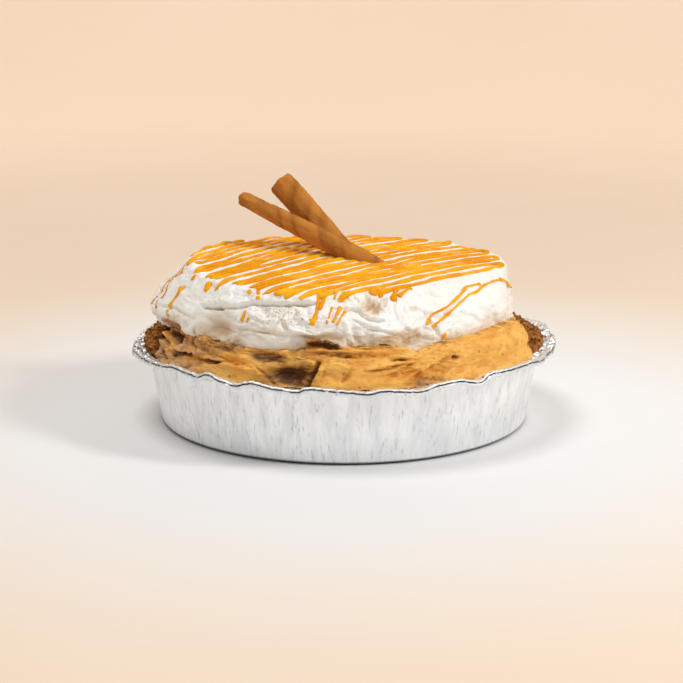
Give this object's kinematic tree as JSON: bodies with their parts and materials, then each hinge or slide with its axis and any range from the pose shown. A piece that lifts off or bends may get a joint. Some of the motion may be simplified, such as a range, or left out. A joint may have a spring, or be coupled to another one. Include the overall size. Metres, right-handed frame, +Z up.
{
  "type": "pumpkin cream pie",
  "caption": "Deep pumpkin cream pie in a foil tin: crumb crust, spilling pumpkin filling, thick whipped cream with hairpin drizzle and cinnamon sticks.",
  "frame": {"origin": "centre of the tin's flat underside, which is also the middle of the footprint at the lowest height", "axes": "+Z up along the pie's axis; -Y is the shown side, where the filling spills over the crust; +X is to the right of it"},
  "size_m": [0.2404, 0.2404, 0.133],
  "materials": {
    "foil": "crinkled thin foil, half gloss",
    "crumb_crust": "rough baked crumb",
    "pumpkin_filling": "soft set mousse, torn and smeared",
    "whipped_cream": "soft whipped cream, spatula marks, with glossy orange drizzle",
    "cinnamon_bark": "dry rolled bark"
  },
  "bodies": {
    "root": {"tin": "foil", "crust": "crumb_crust", "filling": "pumpkin_filling", "cream": "whipped_cream", "cinnamon_stick_thin": "cinnamon_bark", "cinnamon_stick_thick": "cinnamon_bark"}
  },
  "joints": []
}
